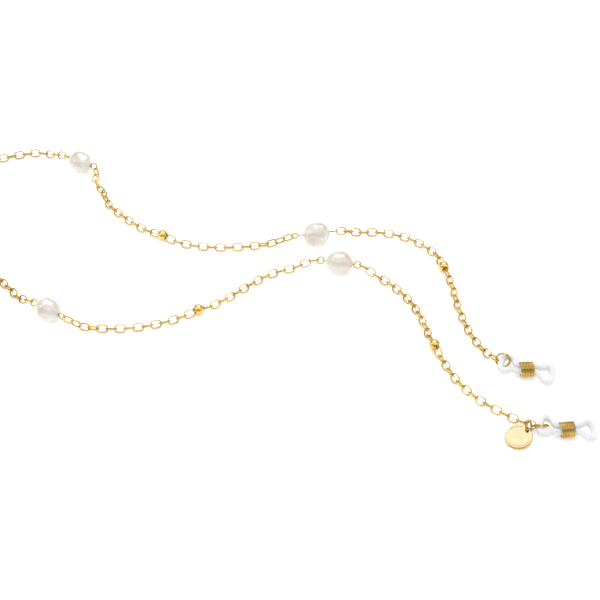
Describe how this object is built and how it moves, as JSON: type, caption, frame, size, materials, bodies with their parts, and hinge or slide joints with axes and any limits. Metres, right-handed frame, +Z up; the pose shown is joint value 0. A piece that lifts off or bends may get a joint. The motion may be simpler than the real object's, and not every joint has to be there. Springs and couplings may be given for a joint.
{
  "type": "eyeglasses chain strap",
  "caption": "Gold oval-link neck chain for eyeglasses with baroque pearls and round beads, a soft pinched temple loop with a grip coil at each end, and a blank round tag.",
  "frame": {"origin": "middle of the strap's footprint, on the surface it lies on", "axes": "+Z up from the surface, +X from the neck pearl towards the two temple loops, +Y from the tagged strand towards the other"},
  "size_m": [0.2734, 0.1522, 0.0084],
  "materials": {
    "chain_gold": "satin gold plate",
    "bead_gold": "mirror gold plate",
    "pin_gold": "polished gold plate",
    "ring_gold": "polished gold plate",
    "coil_gold": "polished gold plate",
    "tag_gold": "satin gold plate",
    "pearl": "satin nacre",
    "silicone": "translucent matte silicone"
  },
  "bodies": {
    "neck_pin": {"eye_pin_neck": "pin_gold"},
    "neck_pearl": {"pearl_neck": "pearl"},
    "chain_a1_inner": {"chain_a1_inner": "chain_gold"},
    "chain_a1_outer": {"chain_a1_outer": "chain_gold", "bead_link_a1": "pin_gold"},
    "bead_a1": {"bead_a1": "bead_gold"},
    "chain_a2_inner": {"chain_a2_inner": "chain_gold"},
    "chain_a2_outer": {"chain_a2_outer": "chain_gold"},
    "pin_a1": {"eye_pin_a1": "pin_gold"},
    "pearl_a1": {"pearl_a1": "pearl"},
    "chain_a3_inner": {"chain_a3_inner": "chain_gold"},
    "chain_a3_outer": {"chain_a3_outer": "chain_gold", "bead_link_a2": "pin_gold"},
    "bead_a2": {"bead_a2": "bead_gold"},
    "chain_a4_inner": {"chain_a4_inner": "chain_gold"},
    "chain_a4_outer": {"chain_a4_outer": "chain_gold"},
    "pin_a2": {"eye_pin_a2": "pin_gold"},
    "pearl_a2": {"pearl_a2": "pearl"},
    "chain_a5_inner": {"chain_a5_inner": "chain_gold"},
    "chain_a5_outer": {"chain_a5_outer": "chain_gold", "bead_link_a3": "pin_gold"},
    "bead_a3": {"bead_a3": "bead_gold"},
    "chain_a6_inner": {"chain_a6_inner": "chain_gold"},
    "chain_a6_outer": {"chain_a6_outer": "chain_gold"},
    "ring_a": {"jump_ring_a": "ring_gold"},
    "loop_a": {"temple_loop_a": "silicone"},
    "coil_a": {"grip_coil_a": "coil_gold"},
    "chain_b1_inner": {"chain_b1_inner": "chain_gold"},
    "chain_b1_outer": {"chain_b1_outer": "chain_gold", "bead_link_b1": "pin_gold"},
    "bead_b1": {"bead_b1": "bead_gold"},
    "chain_b2_inner": {"chain_b2_inner": "chain_gold"},
    "chain_b2_outer": {"chain_b2_outer": "chain_gold"},
    "pin_b1": {"eye_pin_b1": "pin_gold"},
    "pearl_b1": {"pearl_b1": "pearl"},
    "chain_b3_inner": {"chain_b3_inner": "chain_gold"},
    "chain_b3_outer": {"chain_b3_outer": "chain_gold", "bead_link_b2": "pin_gold"},
    "bead_b2": {"bead_b2": "bead_gold"},
    "chain_b4_inner": {"chain_b4_inner": "chain_gold"},
    "chain_b4_outer": {"chain_b4_outer": "chain_gold"},
    "pin_b2": {"eye_pin_b2": "pin_gold"},
    "pearl_b2": {"pearl_b2": "pearl"},
    "chain_b5_inner": {"chain_b5_inner": "chain_gold"},
    "chain_b5_outer": {"chain_b5_outer": "chain_gold", "bead_link_b3": "pin_gold"},
    "bead_b3": {"bead_b3": "bead_gold"},
    "chain_b6_inner": {"chain_b6_inner": "chain_gold"},
    "chain_b6_outer": {"chain_b6_outer": "chain_gold"},
    "ring_b": {"jump_ring_b": "ring_gold"},
    "loop_b": {"temple_loop_b": "silicone"},
    "coil_b": {"grip_coil_b": "coil_gold"},
    "tag_ring": {"tag_ring": "ring_gold"},
    "tag": {"tag": "tag_gold"}
  },
  "joints": [
    {"name": "spin_pearl_neck", "type": "hinge", "parent": "neck_pin", "child": "neck_pearl", "pos_m": [-0.1325, 0.02347, 0.00415], "axis": [0.1045, 0.9945, 0], "continuous": true},
    {"name": "swing_a1_inner", "type": "hinge", "parent": "neck_pin", "child": "chain_a1_inner", "pos_m": [-0.13169, 0.03118, 0.00415], "axis": [-0.7091, -0.1443, -0.6902], "range_deg": [-20, 3.5]},
    {"name": "swing_a1_outer", "type": "hinge", "parent": "chain_a1_inner", "child": "chain_a1_outer", "pos_m": [-0.12072, 0.05345, 0.00134], "axis": [0.4817, -0.5176, 0.7071], "range_deg": [-20, 20]},
    {"name": "spin_bead_a1", "type": "hinge", "parent": "chain_a1_outer", "child": "bead_a1", "pos_m": [-0.0998, 0.06497, 0.002], "axis": [0.9277, 0.3734, 0], "continuous": true},
    {"name": "swing_a2_inner", "type": "hinge", "parent": "chain_a1_outer", "child": "chain_a2_inner", "pos_m": [-0.09766, 0.06583, 0.002], "axis": [-0.3118, 0.642, -0.7005], "range_deg": [-14, 14]},
    {"name": "swing_a2_outer", "type": "hinge", "parent": "chain_a2_inner", "child": "chain_a2_outer", "pos_m": [-0.07361, 0.07329, 0.00134], "axis": [0.1801, -0.6838, 0.7071], "range_deg": [-20, 20]},
    {"name": "swing_pin_a1", "type": "hinge", "parent": "chain_a2_outer", "child": "pin_a1", "pos_m": [-0.05351, 0.06972, 0.00413], "axis": [-0.2781, -0.5017, -0.8192], "range_deg": [-20, 20]},
    {"name": "spin_pearl_a1", "type": "hinge", "parent": "pin_a1", "child": "pearl_a1", "pos_m": [-0.0474, 0.06637, 0.004], "axis": [0.8746, -0.4848, 0], "continuous": true},
    {"name": "swing_a3_inner", "type": "hinge", "parent": "pin_a1", "child": "chain_a3_inner", "pos_m": [-0.0408, 0.06271, 0.004], "axis": [0.8539, -0.0085, 0.5203], "range_deg": [-20, 20]},
    {"name": "swing_a3_outer", "type": "hinge", "parent": "chain_a3_inner", "child": "chain_a3_outer", "pos_m": [-0.03162, 0.04022, 0.00134], "axis": [0.5066, 0.4934, -0.7071], "range_deg": [-20, 20]},
    {"name": "spin_bead_a2", "type": "hinge", "parent": "chain_a3_outer", "child": "bead_a2", "pos_m": [-0.013, 0.02627, 0.002], "axis": [0.8766, -0.4813, 0], "continuous": true},
    {"name": "swing_a4_inner", "type": "hinge", "parent": "chain_a3_outer", "child": "chain_a4_inner", "pos_m": [-0.01098, 0.02516, 0.002], "axis": [-0.2484, -0.6689, 0.7006], "range_deg": [-14, 14]},
    {"name": "swing_a4_outer", "type": "hinge", "parent": "chain_a4_inner", "child": "chain_a4_outer", "pos_m": [0.01392, 0.02037, 0.00134], "axis": [-0.0501, 0.7053, -0.7071], "range_deg": [-20, 20]},
    {"name": "swing_pin_a2", "type": "hinge", "parent": "chain_a4_outer", "child": "pin_a2", "pos_m": [0.03576, 0.02333, 0.00433], "axis": [-0.173, 0.9811, 0.0872], "range_deg": [-20, 20]},
    {"name": "spin_pearl_a2", "type": "hinge", "parent": "pin_a2", "child": "pearl_a2", "pos_m": [0.0444, 0.02487, 0.0042], "axis": [0.9848, 0.1736, 0], "continuous": true},
    {"name": "swing_a5_inner", "type": "hinge", "parent": "pin_a2", "child": "chain_a5_inner", "pos_m": [0.05243, 0.02629, 0.0042], "axis": [-0.3732, 0.6278, -0.6831], "range_deg": [-20, 11]},
    {"name": "swing_a5_outer", "type": "hinge", "parent": "chain_a5_inner", "child": "chain_a5_outer", "pos_m": [0.07642, 0.02641, 0.00134], "axis": [-0.2967, -0.6419, 0.7071], "range_deg": [-20, 20]},
    {"name": "spin_bead_a3", "type": "hinge", "parent": "chain_a5_outer", "child": "bead_a3", "pos_m": [0.091, 0.00937, 0.002], "axis": [0.2947, -0.9556, 0], "continuous": true},
    {"name": "swing_a6_inner", "type": "hinge", "parent": "chain_a5_outer", "child": "chain_a6_inner", "pos_m": [0.09168, 0.00716, 0.002], "axis": [-0.7073, -0.0942, -0.7006], "range_deg": [-14, 14]},
    {"name": "swing_a6_outer", "type": "hinge", "parent": "chain_a6_inner", "child": "chain_a6_outer", "pos_m": [0.09637, -0.01811, 0.00134], "axis": [0.6826, 0.1847, 0.7071], "range_deg": [-20, 20]},
    {"name": "swing_ring_a", "type": "hinge", "parent": "chain_a6_outer", "child": "ring_a", "pos_m": [0.10667, -0.03778, 0.00205], "axis": [-0.3758, -0.7773, 0.5045], "range_deg": [-12, 12]},
    {"name": "swing_loop_a", "type": "hinge", "parent": "ring_a", "child": "loop_a", "pos_m": [0.10804, -0.03876, 0.0023], "axis": [0, 0, 1], "range_deg": [-10, 10]},
    {"name": "slide_coil_a", "type": "slide", "parent": "loop_a", "child": "coil_a", "axis": [0.9993, 0.0366, 0], "range_m": [-0.0002, 0.0004]},
    {"name": "swing_b1_inner", "type": "hinge", "parent": "neck_pin", "child": "chain_b1_inner", "pos_m": [-0.13331, 0.01576, 0.00415], "axis": [-0.6962, -0.2732, 0.6638], "range_deg": [-20, 3.5]},
    {"name": "swing_b1_outer", "type": "hinge", "parent": "chain_b1_inner", "child": "chain_b1_outer", "pos_m": [-0.11605, 0.00158, 0.00134], "axis": [-0.16, 0.6888, -0.7071], "range_deg": [-20, 20]},
    {"name": "spin_bead_b1", "type": "hinge", "parent": "chain_b1_outer", "child": "bead_b1", "pos_m": [-0.0953, 0.01317, 0.002], "axis": [0.9187, 0.3949, 0], "continuous": true},
    {"name": "swing_b2_inner", "type": "hinge", "parent": "chain_b1_outer", "child": "chain_b2_inner", "pos_m": [-0.09318, 0.01408, 0.002], "axis": [-0.1165, 0.7041, 0.7005], "range_deg": [-14, 14]},
    {"name": "swing_b2_outer", "type": "hinge", "parent": "chain_b2_inner", "child": "chain_b2_outer", "pos_m": [-0.07195, 0.00436, 0.00134], "axis": [-0.5442, -0.4515, -0.7071], "range_deg": [-20, 20]},
    {"name": "swing_pin_b1", "type": "hinge", "parent": "chain_b2_outer", "child": "pin_b1", "pos_m": [-0.05696, -0.01115, 0.00428], "axis": [-0.3851, -0.593, 0.7071], "range_deg": [-20, 20]},
    {"name": "spin_pearl_b1", "type": "hinge", "parent": "pin_b1", "child": "pearl_b1", "pos_m": [-0.0511, -0.01493, 0.00415], "axis": [0.8387, -0.5446, 0], "continuous": true},
    {"name": "swing_b3_inner", "type": "hinge", "parent": "pin_b1", "child": "chain_b3_inner", "pos_m": [-0.04468, -0.0191, 0.00415], "axis": [-0.2924, -0.0112, -0.9562], "range_deg": [-4, 20]},
    {"name": "swing_b3_outer", "type": "hinge", "parent": "chain_b3_inner", "child": "chain_b3_outer", "pos_m": [-0.02003, -0.0211, 0.00134], "axis": [0.1161, -0.6975, 0.7071], "range_deg": [-20, 20]},
    {"name": "spin_bead_b2", "type": "hinge", "parent": "chain_b3_outer", "child": "bead_b2", "pos_m": [0.0021, -0.01283, 0.002], "axis": [0.8884, 0.4591, 0], "continuous": true},
    {"name": "swing_b4_inner", "type": "hinge", "parent": "chain_b3_outer", "child": "chain_b4_inner", "pos_m": [0.00415, -0.01177, 0.002], "axis": [0.2714, -0.6599, -0.7006], "range_deg": [-14, 14]},
    {"name": "swing_b4_outer", "type": "hinge", "parent": "chain_b4_inner", "child": "chain_b4_outer", "pos_m": [0.02453, 0.00401, 0.00134], "axis": [-0.392, 0.5885, 0.7071], "range_deg": [-20, 20]},
    {"name": "swing_pin_b2", "type": "hinge", "parent": "chain_b4_outer", "child": "pin_b2", "pos_m": [0.04525, 0.01049, 0.00433], "axis": [0.1228, 0.6964, -0.7071], "range_deg": [-20, 20]},
    {"name": "spin_pearl_b2", "type": "hinge", "parent": "pin_b2", "child": "pearl_b2", "pos_m": [0.0528, 0.00907, 0.0042], "axis": [0.9848, -0.1736, 0], "continuous": true},
    {"name": "swing_b5_inner", "type": "hinge", "parent": "pin_b2", "child": "chain_b5_inner", "pos_m": [0.06053, 0.00771, 0.0042], "axis": [0.4948, 0.6331, 0.5953], "range_deg": [-20, 20]},
    {"name": "swing_b5_outer", "type": "hinge", "parent": "chain_b5_inner", "child": "chain_b5_outer", "pos_m": [0.07799, -0.00834, 0.00134], "axis": [-0.6345, -0.3122, -0.7071], "range_deg": [-20, 20]},
    {"name": "spin_bead_b3", "type": "hinge", "parent": "chain_b5_outer", "child": "bead_b3", "pos_m": [0.0852, -0.03003, 0.002], "axis": [0.3275, -0.9449, 0], "continuous": true},
    {"name": "swing_b6_inner", "type": "hinge", "parent": "chain_b5_outer", "child": "chain_b6_inner", "pos_m": [0.08596, -0.03221, 0.002], "axis": [-0.6331, -0.3291, 0.7006], "range_deg": [-14, 14]},
    {"name": "swing_b6_outer", "type": "hinge", "parent": "chain_b6_inner", "child": "chain_b6_outer", "pos_m": [0.09837, -0.05462, 0.00134], "axis": [0.4839, 0.5156, -0.7071], "range_deg": [-20, 20]},
    {"name": "swing_ring_b", "type": "hinge", "parent": "chain_b6_outer", "child": "ring_b", "pos_m": [0.11674, -0.0677, 0.00206], "axis": [0.0014, 0.8231, 0.5678], "range_deg": [-12, 12]},
    {"name": "swing_loop_b", "type": "hinge", "parent": "ring_b", "child": "loop_b", "pos_m": [0.11829, -0.06713, 0.0024], "axis": [0, 0, 1], "range_deg": [-10, 10]},
    {"name": "slide_coil_b", "type": "slide", "parent": "loop_b", "child": "coil_b", "axis": [0.9962, 0.0872, 0], "range_m": [-0.0002, 0.0004]},
    {"name": "swing_tag_ring", "type": "hinge", "parent": "chain_b6_outer", "child": "tag_ring", "pos_m": [0.1145, -0.06759, 0.00123], "axis": [0.8616, -0.5075, 0], "range_deg": [-8, 8]},
    {"name": "swing_tag", "type": "hinge", "parent": "tag_ring", "child": "tag", "pos_m": [0.11354, -0.06967, 0.00185], "axis": [0, 0, 1], "range_deg": [-15, 15]}
  ]
}
